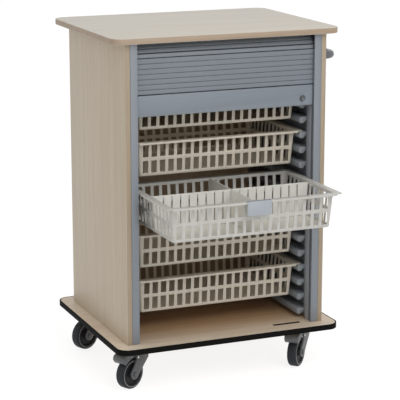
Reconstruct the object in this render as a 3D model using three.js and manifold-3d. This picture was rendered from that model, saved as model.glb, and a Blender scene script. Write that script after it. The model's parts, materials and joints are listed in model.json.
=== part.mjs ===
// Tray storage trolley: a board cabinet on four castors, with five lattice baskets on side runners
// behind a roller shutter that runs up, back under the top and down behind the baskets.
// Millimetres, +Z up, front towards -Y. The origin is on the floor, under the middle of the bounding box.

import * as THREE from 'three';
import { mergeGeometries, mergeVertices } from 'three/addons/utils/BufferGeometryUtils.js';
import Module from 'manifold-3d';

const wasm = await Module();
wasm.setup();

// Fits
const SEAT_GAP = 0.3;

// How far a cutting form runs past the face that it cuts, and how close two corners are one
const OVERCUT = 1;
const CORNER_MERGE = 1e-4;

// Baskets, which set the cabinet's inside
const RIM_WIDTH = 594;
const RIM_DEPTH = 394;
const RIM_FLANGE = 22;
const RIM_THICK = 3;
const RIM_CORNER = 22;
const BASKET_HEIGHT = 113;
const BASKET_WALL = 3;
const BASKET_TAPER = 8.5;
const BASKET_COUNT = 5;
const SLOT_PITCH = 29;
const SLOT_WIDTH = 16.5;
const SLOT_ROWS = 2;
const SLOT_FLOOR_MARGIN = 10;
const SLOT_RIM_MARGIN = 7;
const SLOT_MID_RAIL = 12;
const SLOT_CORNER_MARGIN = 11;
const PULLED_BASKET = 3;
const PULLED_OUT = 284;

// Dividers and label holder of the pulled basket
const DIVIDER_THICK = 2.5;
const DIVIDER_DROP = 1;
const DIVIDER_END_PLAY = 1;
const SLIT_WIDTH = 4;
const SLIT_TOP_MARGIN = 6;
const SLIT_FOOT_MARGIN = 14;
const LABEL_WIDTH = 80;
const LABEL_HEIGHT = 46;
const LABEL_THICK = 2.5;
const LABEL_OFFSET = 8;
const LABEL_HOOK = 10;

// Runner panels
const RUNG_COUNT = 18;
const RUNG_PITCH = 50;
const FIRST_RUNG = 34;
const RUNGS_PER_BASKET = 3;
const RUNG_NOSE_TALL = 21;
const RUNG_ROOT_TALL = 13;
const RUNG_NOSE_LONG = 14;
const RUNG_ROUND = 4;
const RUNG_WALL_PLAY = 6;
const RUNNER_WEB = 3;
const RUNNER_FOOT_GAP = 9;
const POST_DEPTH = 12;
const POST_WIDTH = 22;
const RUNNER_REAR_PLAY = 2;

// Shutter tracks and curtain
const TRACK_WIDTH = 25;
const TRACK_DEPTH = 46;
const TRACK_RIM_PLAY = 6;
const GROOVE_DEPTH = 14;
const GROOVE_PLAY = 0.5;
const CURTAIN_SETBACK = 16;
const CURTAIN_END_PLAY = 2;
const CURTAIN_TOP_DROP = 12;
const SLAT_THICK = 8;
const SLAT_PITCH = 16.3;
const SLAT_PLAY = 0.4;
const SLAT_CHAMFER = 1.6;
const FRONT_SLATS = 7;
const BEND_RADIUS = 38;
const BEND_STEPS = 8;
const GUIDE_LIP = 4.5;
const REAR_HANG = 222;
const CREASE_DEPTH = 3;
const CREASE_WIDTH = 1.6;
const RAIL_HEIGHT = 67;
const RAIL_THICK = 16;
const RAIL_SIDE_PLAY = 1;

// Lock in the shutter's bottom rail, and its keeper slot in the base board
const LOCK_RADIUS = 9.5;
const LOCK_SIDE_INSET = 37;
const LOCK_RISE = 23;
const LOCK_PROUD = 2;
const LOCK_DEPTH = 14;
const KEYWAY_WIDTH = 2;
const KEYWAY_LENGTH = 11;
const KEYWAY_DEPTH = 3;
const BOLT_WIDTH = 60;
const BOLT_THICK = 4;
const BOLT_HEIGHT = 30;
const BOLT_THROW = 12;
const BOLT_LOCK_GAP = 5;
const KEEPER_PLAY = 18;
const KEEPER_SLOT_WIDTH = 14;

// Boards
const PANEL_THICK = 16;
const INNER_BACK_THICK = 4;
const INNER_BACK_TOP_GAP = 26;
const BASKET_FRONT_PLAY = 1;
const BASKET_REAR_PLAY = 11;
const REAR_SPACE = 56;
const REAR_CURTAIN_GAP = 25;
const HEADROOM = 78;
const TOP_THICK = 19.5;
const TOP_SIDE_OVERHANG = 44;
const TOP_FRONT_OVERHANG = 21;
const TOP_REAR_OVERHANG = 42;
const TOP_CORNER = 40;
const BASE_THICK = 18;
const BASE_SIDE_OVERHANG = 45;
const BASE_FRONT_OVERHANG = 50;
const BASE_REAR_OVERHANG = 55;
const BASE_CORNER = 40;
const EDGE_BAND_THICK = 4;
const CORNER_STEPS = 4;

// Push handle on the right side panel
const HANDLE_RADIUS = 13;
const HANDLE_REACH = 58;
const HANDLE_BEND = 30;
const HANDLE_DROP = 76;
const HANDLE_END_INSET = 38;
const HANDLE_SIDES = 6;
const HANDLE_BEND_STEPS = 5;
const FLANGE_RADIUS = 19;
const FLANGE_THICK = 5;

// Castors
const CASTOR_HEIGHT = 137;
const CASTOR_SIDE_INSET = 97;
const CASTOR_END_INSET = 104;
const TRAIL = 38;
const WHEEL_RADIUS = 50;
const TYRE_THICK = 9;
const TYRE_WIDTH = 32;
const TYRE_ROUND = 5;
const RIM_RING_WIDTH = 29;
const HUB_RADIUS = 14;
const HUB_SIDE_PLAY = 1;
const WHEEL_SIDES = 28;
const AXLE_RADIUS = 5;
const AXLE_HEAD_RADIUS = 8;
const AXLE_HEAD_THICK = 3;
const TURN_PLAY = 0.4;
const AXLE_SIDES = 12;
const HEAD_RADIUS = 29;
const HEAD_THICK = 8;
const KINGPIN_RADIUS = 6;
const FORK_WHEEL_PLAY = 4;
const FORK_SIDE_PLAY = 2.5;
const FORK_WALL = 5.5;
const FORK_FRONT = 27;
const FORK_BACK = 29;
const FORK_NECK = 33;
const LEG_RADIUS = 17;
const LEG_STEPS = 8;

// Foot brake of the two front castors: a hooded pedal over the wheel
const PEDAL_PIVOT_INSET = 7;
const PEDAL_LUG_GAP = 0.7;
const PEDAL_PIN_RADIUS = 3.5;
const PEDAL_PIN_PROUD = 1.5;
const PEDAL_LUG_RADIUS = 6;
const PEDAL_LUG_PLAY = 0.5;
const PEDAL_NOTCH_PLAY = 1.5;
const PEDAL_WIDTH = 48;
const PEDAL_WIDE_FROM = 44;
const PEDAL_REACH = 90;
const PEDAL_TOP_DROP = 8;
const PEDAL_NOSE = 14;
const PEDAL_NOSE_END = -50;
const PEDAL_GAP_SHARE = 0.44;
const PEDAL_ARCH = [44, 98];
const PEDAL_STEPS = 6;

// Trail directions of the castors, in degrees from +X, as they stand
const CASTOR_TURN = { front_left: 207, front_right: 224, rear_left: 204, rear_right: 210 };

// Places that follow from the sizes above
const rimHalf = RIM_WIDTH / 2;
const innerHalf = rimHalf + TRACK_RIM_PLAY + TRACK_WIDTH;
const bodyHalf = innerHalf + PANEL_THICK;
const trackHalf = innerHalf - TRACK_WIDTH;
const rimFront = TRACK_DEPTH + POST_DEPTH + BASKET_FRONT_PLAY;
const innerBackFront = rimFront + RIM_DEPTH + BASKET_REAR_PLAY;
const backPanelFront = innerBackFront + INNER_BACK_THICK + REAR_SPACE;
const bodyDepth = backPanelFront + PANEL_THICK;
const bodyHeight = FIRST_RUNG + (RUNG_COUNT - 1) * RUNG_PITCH + HEADROOM;
const baseTop = CASTOR_HEIGHT + BASE_THICK;
const topUnder = baseTop + bodyHeight;
const baseHalf = bodyHalf + BASE_SIDE_OVERHANG;
const baseRear = bodyDepth + BASE_REAR_OVERHANG;
const curtainHalf = trackHalf + GROOVE_DEPTH - CURTAIN_END_PLAY;
const curtainTop = topUnder - CURTAIN_TOP_DROP;
const bendStart = curtainTop - BEND_RADIUS;
const curtainRear = innerBackFront + INNER_BACK_THICK + REAR_CURTAIN_GAP;
const railTop = bendStart - FRONT_SLATS * SLAT_PITCH;
const railBottom = railTop - RAIL_HEIGHT;
const grooveHalf = SLAT_THICK / 2 + GROOVE_PLAY;
const guideHalf = grooveHalf + GUIDE_LIP;
const lockX = trackHalf - LOCK_SIDE_INSET;
const lockZ = railBottom + LOCK_RISE;
const boltRight = lockX - LOCK_RADIUS - BOLT_LOCK_GAP;

// Turning a geometry into a closed solid and back, and the joins and cuts

function merged(geometry) {
  const bare = geometry.clone();
  bare.deleteAttribute('normal');
  bare.deleteAttribute('uv');
  return mergeVertices(bare, CORNER_MERGE);
}

function solid(geometry) {
  const closed = merged(geometry);
  const corners = closed.index.array;
  const kept = [];
  for (let i = 0; i < corners.length; i += 3) {
    const [a, b, c] = corners.slice(i, i + 3);
    if (a !== b && b !== c && c !== a) {
      kept.push(a, b, c);
    }
  }
  return new wasm.Manifold(new wasm.Mesh({
    numProp: 3,
    vertProperties: new Float32Array(closed.attributes.position.array),
    triVerts: new Uint32Array(kept),
  }));
}

function geometryOf(body) {
  const mesh = body.getMesh();
  const geometry = new THREE.BufferGeometry();
  geometry.setAttribute('position', new THREE.BufferAttribute(new Float32Array(mesh.vertProperties), 3));
  geometry.setIndex(new THREE.BufferAttribute(new Uint32Array(mesh.triVerts), 1));
  geometry.computeVertexNormals();
  return geometry;
}

function joined(pieces) {
  return geometryOf(pieces.map(solid).reduce((whole, piece) => whole.add(piece)));
}

function cut(geometry, tools) {
  return geometryOf(tools.map(solid).reduce((left, tool) => left.subtract(tool), solid(geometry)));
}

// Basic forms

function slab(x, y, z) {
  const geometry = new THREE.BoxGeometry(x[1] - x[0], y[1] - y[0], z[1] - z[0]);
  return geometry.translate((x[0] + x[1]) / 2, (y[0] + y[1]) / 2, (z[0] + z[1]) / 2);
}

function extruded(shape, depth) {
  return new THREE.ExtrudeGeometry(shape, { depth, bevelEnabled: false, curveSegments: CORNER_STEPS });
}

function extrudedUp(shape, z) {
  return extruded(shape, z[1] - z[0]).translate(0, 0, z[0]);
}

// An outline in (y, z), drawn out along X
function extrudedAcross(shape, x) {
  const turn = new THREE.Matrix4().makeBasis(
    new THREE.Vector3(0, 1, 0), new THREE.Vector3(0, 0, 1), new THREE.Vector3(1, 0, 0));
  return extruded(shape, x[1] - x[0]).applyMatrix4(turn).translate(x[0], 0, 0);
}

// An outline in (x, z), drawn out along Y
function extrudedBack(shape, y) {
  const turn = new THREE.Matrix4().makeBasis(
    new THREE.Vector3(1, 0, 0), new THREE.Vector3(0, 0, 1), new THREE.Vector3(0, -1, 0));
  return extruded(shape, y[1] - y[0]).applyMatrix4(turn).translate(0, y[1], 0);
}

function outline(points) {
  return new THREE.Shape(points.map(([a, b]) => new THREE.Vector2(a, b)));
}

function roundedRectangle(x, y, radius) {
  const shape = new THREE.Shape();
  shape.absarc(x[1] - radius, y[0] + radius, radius, -Math.PI / 2, 0);
  shape.absarc(x[1] - radius, y[1] - radius, radius, 0, Math.PI / 2);
  shape.absarc(x[0] + radius, y[1] - radius, radius, Math.PI / 2, Math.PI);
  shape.absarc(x[0] + radius, y[0] + radius, radius, Math.PI, 1.5 * Math.PI);
  shape.closePath();
  return shape;
}

function rectangle(x, y) {
  return outline([[x[0], y[0]], [x[1], y[0]], [x[1], y[1]], [x[0], y[1]]]);
}

// A form turned about the Y axis, from a closed outline in (radius, y)
function turned(points, sides) {
  const profile = points.map(([radius, y]) => new THREE.Vector2(radius, y));
  return new THREE.LatheGeometry(profile, sides);
}

function turnedUpright(points, sides) {
  return turned(points, sides).rotateX(Math.PI / 2);
}

function rod(radius, y, sides) {
  return turned([[0, y[0]], [radius, y[0]], [radius, y[1]], [0, y[1]]], sides);
}

function mirrored(geometry) {
  const flipped = merged(geometry).scale(-1, 1, 1);
  const corners = flipped.index.array;
  for (let i = 0; i < corners.length; i += 3) {
    [corners[i + 1], corners[i + 2]] = [corners[i + 2], corners[i + 1]];
  }
  flipped.computeVertexNormals();
  return flipped;
}

// Named pieces

const COLOURS = {
  board: 0xcdbfa8,
  edging: 0x161614,
  aluminium: 0x8a94a1,
  slat: 0x848c97,
  abs: 0x9aa0a5,
  basket: 0xd2c8b4,
  divider: 0xdcd6c8,
  label: 0xd8dde4,
  handle: 0x7d8084,
  chrome: 0xb8babd,
  fork: 0x54575a,
  wheel: 0x77797c,
  tyre: 0x26292c,
};

function piece(name, geometry, colour, roughness = 0.6, metalness = 0) {
  const material = new THREE.MeshStandardMaterial({ color: colour, roughness, metalness });
  const mesh = new THREE.Mesh(geometry, material);
  mesh.name = name;
  return mesh;
}

// Boards

function baseOutline(inset) {
  return roundedRectangle(
    [-baseHalf + inset, baseHalf - inset],
    [-BASE_FRONT_OVERHANG + inset, baseRear - inset],
    BASE_CORNER - inset);
}

function baseBoard() {
  const board = extrudedUp(baseOutline(EDGE_BAND_THICK + SEAT_GAP), [CASTOR_HEIGHT, baseTop]);
  const keeper = slab(
    [boltRight - BOLT_WIDTH - KEEPER_PLAY, boltRight + KEEPER_PLAY],
    [CURTAIN_SETBACK - KEEPER_SLOT_WIDTH / 2, CURTAIN_SETBACK + KEEPER_SLOT_WIDTH / 2],
    [baseTop - BOLT_THROW - SEAT_GAP, baseTop + SEAT_GAP]);
  return cut(board, [keeper]);
}

function baseEdgeBand() {
  const ring = baseOutline(0);
  ring.holes.push(baseOutline(EDGE_BAND_THICK));
  return extrudedUp(ring, [CASTOR_HEIGHT, baseTop]);
}

function topBoard() {
  const half = bodyHalf + TOP_SIDE_OVERHANG;
  const rear = bodyDepth + TOP_REAR_OVERHANG;
  const shape = roundedRectangle([-half, half], [-TOP_FRONT_OVERHANG, rear], TOP_CORNER);
  return extrudedUp(shape, [topUnder, topUnder + TOP_THICK]);
}

const standing = [baseTop + SEAT_GAP, topUnder - SEAT_GAP];

function sidePanel() {
  return slab([innerHalf, bodyHalf], [0, bodyDepth], standing);
}

function backPanel() {
  return slab([-innerHalf + SEAT_GAP, innerHalf - SEAT_GAP], [backPanelFront, bodyDepth], standing);
}

function innerBack() {
  return slab(
    [-innerHalf + SEAT_GAP, innerHalf - SEAT_GAP],
    [innerBackFront, innerBackFront + INNER_BACK_THICK],
    [standing[0], topUnder - INNER_BACK_TOP_GAP]);
}

// The curtain's path in (y, z), from the front bend over the top to the end of the rear drop,
// moved outwards by the given offset

function curtainPath(offset) {
  const radius = BEND_RADIUS + offset;
  const points = [];
  for (let i = 0; i <= BEND_STEPS; i += 1) {
    const angle = Math.PI - (i / BEND_STEPS) * Math.PI / 2;
    points.push([
      CURTAIN_SETBACK + BEND_RADIUS + radius * Math.cos(angle),
      bendStart + SEAT_GAP + radius * Math.sin(angle)]);
  }
  for (let i = 0; i <= BEND_STEPS; i += 1) {
    const angle = Math.PI / 2 - (i / BEND_STEPS) * Math.PI / 2;
    points.push([
      curtainRear - BEND_RADIUS + radius * Math.cos(angle),
      bendStart + SEAT_GAP + radius * Math.sin(angle)]);
  }
  return points;
}

function curtainBand(half, hang) {
  const outer = curtainPath(half);
  const inner = curtainPath(-half);
  const end = bendStart - hang;
  return outline([
    ...outer,
    [curtainRear + half, end],
    [curtainRear - half, end],
    ...inner.reverse()]);
}

// Shutter tracks: an upright profile at each side of the front, and a bent guide above and behind it

function track() {
  const section = outline([
    [trackHalf, 0],
    [innerHalf - SEAT_GAP, 0],
    [innerHalf - SEAT_GAP, TRACK_DEPTH],
    [trackHalf, TRACK_DEPTH],
    [trackHalf, CURTAIN_SETBACK + grooveHalf],
    [trackHalf + GROOVE_DEPTH, CURTAIN_SETBACK + grooveHalf],
    [trackHalf + GROOVE_DEPTH, CURTAIN_SETBACK - grooveHalf],
    [trackHalf, CURTAIN_SETBACK - grooveHalf]]);
  const guideSeat = slab(
    [trackHalf - OVERCUT, innerHalf + OVERCUT],
    [CURTAIN_SETBACK - guideHalf - SEAT_GAP, TRACK_DEPTH + OVERCUT],
    [bendStart, topUnder]);
  return cut(extrudedUp(section, standing), [guideSeat]);
}

function guide() {
  const body = extrudedAcross(curtainBand(guideHalf, REAR_HANG), [trackHalf, innerHalf - SEAT_GAP]);
  const open = [trackHalf - OVERCUT, trackHalf + GROOVE_DEPTH];
  const groove = extrudedAcross(curtainBand(grooveHalf, REAR_HANG - GUIDE_LIP), open);
  const mouth = slab(
    open,
    [CURTAIN_SETBACK - grooveHalf, CURTAIN_SETBACK + grooveHalf],
    [bendStart - OVERCUT, bendStart + OVERCUT]);
  return cut(body, [groove, mouth]);
}

// The stored curtain: a band round the bends, creased between its slats

function rearCurtain() {
  const hang = REAR_HANG - GUIDE_LIP - GROOVE_PLAY;
  const half = SLAT_THICK / 2;
  const band = extrudedAcross(curtainBand(half, hang), [-curtainHalf, curtainHalf]);
  const bottom = bendStart - hang;
  const creases = [];
  const crease = (y, z, tilt) => {
    const groove = slab(
      [-curtainHalf - OVERCUT, curtainHalf + OVERCUT],
      [-CREASE_WIDTH / 2, CREASE_WIDTH / 2],
      [-CREASE_DEPTH, CREASE_DEPTH]);
    creases.push(groove.rotateX(tilt).translate(0, y, z));
  };
  for (let z = bottom + SLAT_PITCH; z < bendStart; z += SLAT_PITCH) {
    crease(curtainRear + half, z, -Math.PI / 2);
  }
  for (let y = curtainRear - BEND_RADIUS; y > CURTAIN_SETBACK + BEND_RADIUS; y -= SLAT_PITCH) {
    crease(y, curtainTop + SEAT_GAP + half, 0);
  }
  const bendSlats = Math.round(BEND_RADIUS * Math.PI / 2 / SLAT_PITCH);
  for (let i = 1; i < bendSlats; i += 1) {
    const angle = (i / bendSlats) * Math.PI / 2;
    const reach = BEND_RADIUS + half;
    crease(
      CURTAIN_SETBACK + BEND_RADIUS - reach * Math.cos(angle),
      bendStart + SEAT_GAP + reach * Math.sin(angle),
      Math.PI / 2 - angle);
  }
  return cut(band, creases);
}

// Shutter front: separate slats above a lockable bottom rail

function slat() {
  const half = SLAT_THICK / 2;
  const tall = SLAT_PITCH - SLAT_PLAY;
  const section = outline([
    [-half + SLAT_CHAMFER, 0],
    [half, 0],
    [half, tall],
    [-half + SLAT_CHAMFER, tall],
    [-half, tall - SLAT_CHAMFER],
    [-half, SLAT_CHAMFER]]);
  return extrudedAcross(section, [-curtainHalf, curtainHalf]);
}

function shutterRail() {
  const front = CURTAIN_SETBACK - RAIL_THICK / 2;
  const tongue = CURTAIN_SETBACK - SLAT_THICK / 2;
  const side = trackHalf - RAIL_SIDE_PLAY;
  const whole = joined([
    slab([-side, side], [front, front + RAIL_THICK], [railBottom, railTop - SLAT_PLAY]),
    slab([-curtainHalf, curtainHalf], [tongue, tongue + SLAT_THICK], [railBottom, railTop - SLAT_PLAY])]);
  const boreDepth = [front - OVERCUT, front + LOCK_DEPTH + SEAT_GAP];
  const lockBore = rod(LOCK_RADIUS + TURN_PLAY, boreDepth, AXLE_SIDES).translate(lockX, 0, lockZ);
  const boltPocket = slab(
    [boltRight - BOLT_WIDTH - SEAT_GAP, boltRight + SEAT_GAP],
    [CURTAIN_SETBACK - BOLT_THICK / 2 - SEAT_GAP, CURTAIN_SETBACK + BOLT_THICK / 2 + SEAT_GAP],
    [railBottom - OVERCUT, railBottom + BOLT_HEIGHT + SEAT_GAP]);
  return cut(whole, [lockBore, boltPocket]);
}

function lockCylinder() {
  const front = CURTAIN_SETBACK - RAIL_THICK / 2;
  const barrel = rod(LOCK_RADIUS, [front - LOCK_PROUD, front + LOCK_DEPTH], AXLE_SIDES);
  const keyway = slab(
    [-KEYWAY_WIDTH / 2, KEYWAY_WIDTH / 2],
    [front - LOCK_PROUD - OVERCUT, front - LOCK_PROUD + KEYWAY_DEPTH],
    [-KEYWAY_LENGTH / 2, KEYWAY_LENGTH / 2]);
  return cut(barrel, [keyway]).translate(lockX, 0, lockZ);
}

function lockBolt() {
  return slab(
    [boltRight - BOLT_WIDTH, boltRight],
    [CURTAIN_SETBACK - BOLT_THICK / 2, CURTAIN_SETBACK + BOLT_THICK / 2],
    [railBottom, railBottom + BOLT_HEIGHT]);
}

// Runner panels: a moulded web with a rung at every step, and a post in front of the rungs

const rungTop = (rung) => baseTop + FIRST_RUNG + rung * RUNG_PITCH;
const rungNose = rimHalf - RIM_FLANGE + RUNG_WALL_PLAY;

function runner() {
  const foot = baseTop + RUNNER_FOOT_GAP;
  const head = rungTop(RUNG_COUNT - 1) + RUNG_ROOT_TALL;
  const wall = innerHalf - SEAT_GAP;
  const root = wall - RUNNER_WEB;
  const points = [[wall, foot], [wall, head], [root, head]];
  for (let rung = RUNG_COUNT - 1; rung >= 0; rung -= 1) {
    const top = rungTop(rung);
    points.push(
      [root, top],
      [rungNose + RUNG_ROUND, top],
      [rungNose, top - RUNG_ROUND],
      [rungNose, top - RUNG_NOSE_TALL + RUNG_ROUND],
      [rungNose + RUNG_ROUND, top - RUNG_NOSE_TALL],
      [rungNose + RUNG_NOSE_LONG, top - RUNG_NOSE_TALL],
      [rungNose + RUNG_NOSE_LONG + RUNG_NOSE_TALL - RUNG_ROOT_TALL, top - RUNG_ROOT_TALL],
      [root, top - RUNG_ROOT_TALL]);
  }
  points.push([root, foot]);
  const postFront = TRACK_DEPTH + SEAT_GAP;
  const rungFront = TRACK_DEPTH + POST_DEPTH;
  const rungRear = innerBackFront - RUNNER_REAR_PLAY;
  return joined([
    extrudedBack(outline(points), [rungFront, rungRear]),
    slab([innerHalf - POST_WIDTH, wall], [postFront, rungFront + OVERCUT], [foot, head])]);
}

// Baskets: four leaning lattice walls on a floor, under a flanged rim.
// Local origin: the rim's top, mid plan.

const wallHalfX = rimHalf - RIM_FLANGE;
const wallHalfY = RIM_DEPTH / 2 - RIM_FLANGE;

function latticeWall(half) {
  const lean = Math.atan2(BASKET_TAPER, BASKET_HEIGHT);
  const tall = BASKET_HEIGHT / Math.cos(lean);
  const foot = half - BASKET_TAPER;
  const face = outline([[-foot, -tall], [foot, -tall], [half, 0], [-half, 0]]);
  const plate = extrudedBack(face, [0, BASKET_WALL]);
  const columns = Math.floor((2 * (foot - SLOT_CORNER_MARGIN) - SLOT_WIDTH) / SLOT_PITCH) + 1;
  const rowsTall = tall - SLOT_FLOOR_MARGIN - SLOT_RIM_MARGIN;
  const slotTall = (rowsTall + SLOT_MID_RAIL) / SLOT_ROWS - SLOT_MID_RAIL;
  const slots = [];
  for (let column = 0; column < columns; column += 1) {
    const middle = (column - (columns - 1) / 2) * SLOT_PITCH;
    for (let row = 0; row < SLOT_ROWS; row += 1) {
      const low = -tall + SLOT_FLOOR_MARGIN + row * (slotTall + SLOT_MID_RAIL);
      slots.push(slab(
        [middle - SLOT_WIDTH / 2, middle + SLOT_WIDTH / 2],
        [-BASKET_WALL, 2 * BASKET_WALL],
        [low, low + slotTall]));
    }
  }
  return cut(plate, [mergeGeometries(slots)]).rotateX(lean);
}

function basket() {
  const floorX = wallHalfX - BASKET_TAPER;
  const floorY = wallHalfY - BASKET_TAPER;
  const rim = roundedRectangle([-rimHalf, rimHalf], [-RIM_DEPTH / 2, RIM_DEPTH / 2], RIM_CORNER);
  rim.holes.push(rectangle(
    [-wallHalfX + BASKET_WALL, wallHalfX - BASKET_WALL],
    [-wallHalfY + BASKET_WALL, wallHalfY - BASKET_WALL]));
  return joined([
    latticeWall(wallHalfX).translate(0, -wallHalfY, 0),
    latticeWall(wallHalfX).rotateZ(Math.PI).translate(0, wallHalfY, 0),
    latticeWall(wallHalfY).rotateZ(Math.PI / 2).translate(wallHalfX, 0, 0),
    latticeWall(wallHalfY).rotateZ(-Math.PI / 2).translate(-wallHalfX, 0, 0),
    slab([-floorX, floorX], [-floorY, floorY], [-BASKET_HEIGHT, -BASKET_HEIGHT + BASKET_WALL]),
    extrudedUp(rim, [-RIM_THICK, 0])]);
}

// A divider stands on the basket's floor between two leaning walls. Its outline is in (along, z).
function dividerOutline(half) {
  const low = -BASKET_HEIGHT + BASKET_WALL + SEAT_GAP;
  const inside = (z) => half + (z / BASKET_HEIGHT) * BASKET_TAPER - BASKET_WALL - DIVIDER_END_PLAY;
  return outline([
    [-inside(low), low],
    [inside(low), low],
    [inside(-DIVIDER_DROP), -DIVIDER_DROP],
    [-inside(-DIVIDER_DROP), -DIVIDER_DROP]]);
}

const dividerMiddle = -(DIVIDER_DROP + BASKET_HEIGHT - BASKET_WALL) / 2;
const lapHalf = DIVIDER_THICK / 2 + SEAT_GAP;

function longDivider() {
  const plate = extrudedBack(dividerOutline(wallHalfX), [-DIVIDER_THICK / 2, DIVIDER_THICK / 2]);
  const lap = slab([-lapHalf, lapHalf], [-DIVIDER_THICK, DIVIDER_THICK], [dividerMiddle, 0]);
  const count = Math.floor(2 * (wallHalfX - BASKET_TAPER - SLOT_CORNER_MARGIN) / SLOT_PITCH);
  const slits = [];
  for (let i = 0; i < count; i += 1) {
    const middle = (i - (count - 1) / 2) * SLOT_PITCH;
    slits.push(slab(
      [middle - SLIT_WIDTH / 2, middle + SLIT_WIDTH / 2],
      [-DIVIDER_THICK, DIVIDER_THICK],
      [-BASKET_HEIGHT + BASKET_WALL + SLIT_FOOT_MARGIN, -DIVIDER_DROP - SLIT_TOP_MARGIN]));
  }
  return cut(plate, [lap, mergeGeometries(slits)]);
}

function crossDivider() {
  const plate = extrudedAcross(dividerOutline(wallHalfY), [-DIVIDER_THICK / 2, DIVIDER_THICK / 2]);
  const lap = slab(
    [-DIVIDER_THICK, DIVIDER_THICK],
    [-lapHalf, lapHalf],
    [-BASKET_HEIGHT, dividerMiddle + SEAT_GAP]);
  return cut(plate, [lap]);
}

// The holder clips over the rim's front edge: a plate in front of it, with a hook along its top.
function labelHolder() {
  const inner = -RIM_DEPTH / 2 - SEAT_GAP;
  const front = inner - LABEL_THICK;
  const hookEnd = inner + LABEL_HOOK;
  const top = SEAT_GAP + LABEL_THICK;
  const low = top - LABEL_HEIGHT;
  const section = outline([
    [front, low],
    [inner, low],
    [inner, SEAT_GAP],
    [hookEnd, SEAT_GAP],
    [hookEnd, top],
    [front, top]]);
  return extrudedAcross(section, [LABEL_OFFSET - LABEL_WIDTH / 2, LABEL_OFFSET + LABEL_WIDTH / 2]);
}

// Push handle: a bow of round tube between two flanges

class BowPath extends THREE.Curve {
  constructor(points) {
    super();
    this.points = points;
  }

  getPoint(t) {
    const place = t * (this.points.length - 1);
    const i = Math.min(Math.floor(place), this.points.length - 2);
    return this.points[i].clone().lerp(this.points[i + 1], place - i);
  }

  getPointAt(u) {
    return this.getPoint(u);
  }

  getTangentAt(u) {
    const place = Math.round(u * (this.points.length - 1));
    const before = this.points[Math.max(place - 1, 0)];
    const after = this.points[Math.min(place + 1, this.points.length - 1)];
    return after.clone().sub(before).normalize();
  }
}

const handleZ = topUnder - HANDLE_DROP;
const handleEnds = [HANDLE_END_INSET, bodyDepth - HANDLE_END_INSET];
const handleRoot = bodyHalf + FLANGE_THICK + 2 * SEAT_GAP;

function pushHandle() {
  const barX = bodyHalf + HANDLE_REACH - HANDLE_RADIUS;
  const points = [new THREE.Vector3(handleRoot, handleEnds[0], handleZ)];
  handleEnds.forEach((y, end) => {
    const inward = end === 0 ? 1 : -1;
    for (let i = 0; i <= HANDLE_BEND_STEPS; i += 1) {
      const share = end === 0 ? i : HANDLE_BEND_STEPS - i;
      const angle = (share / HANDLE_BEND_STEPS) * Math.PI / 2;
      points.push(new THREE.Vector3(
        barX - HANDLE_BEND + HANDLE_BEND * Math.sin(angle),
        y + inward * HANDLE_BEND * (1 - Math.cos(angle)),
        handleZ));
    }
  });
  points.push(new THREE.Vector3(handleRoot, handleEnds[1], handleZ));
  const section = new THREE.Shape();
  section.absarc(0, 0, HANDLE_RADIUS, 0, 2 * Math.PI);
  return new THREE.ExtrudeGeometry(section, {
    extrudePath: new BowPath(points),
    steps: points.length - 1,
    curveSegments: HANDLE_SIDES,
    bevelEnabled: false,
  });
}

function handleFlange() {
  return rod(FLANGE_RADIUS, [0, FLANGE_THICK], AXLE_SIDES).rotateZ(-Math.PI / 2);
}

// Castors. Local frame: the swivel axis upright through the origin, the floor at z = 0,
// the wheel trailing to +X.

const headUnder = CASTOR_HEIGHT - SEAT_GAP - HEAD_THICK;
const forkTop = headUnder - SEAT_GAP;
const slotTop = 2 * WHEEL_RADIUS + FORK_WHEEL_PLAY;
const slotHalf = TYRE_WIDTH / 2 + FORK_SIDE_PLAY;
const forkHalf = slotHalf + FORK_WALL;
const pivotX = FORK_BACK - PEDAL_PIVOT_INSET;
const pivotReach = WHEEL_RADIUS + PEDAL_LUG_GAP + PEDAL_LUG_RADIUS;
const pivotZ = WHEEL_RADIUS + Math.sqrt(pivotReach ** 2 - (TRAIL - pivotX) ** 2);
const pedalTop = forkTop - PEDAL_TOP_DROP;

function castorHead() {
  return turnedUpright([
    [0, slotTop + SEAT_GAP],
    [KINGPIN_RADIUS, slotTop + SEAT_GAP],
    [KINGPIN_RADIUS, headUnder],
    [HEAD_RADIUS, headUnder],
    [HEAD_RADIUS, headUnder + HEAD_THICK],
    [0, headUnder + HEAD_THICK]], AXLE_SIDES);
}

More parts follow.
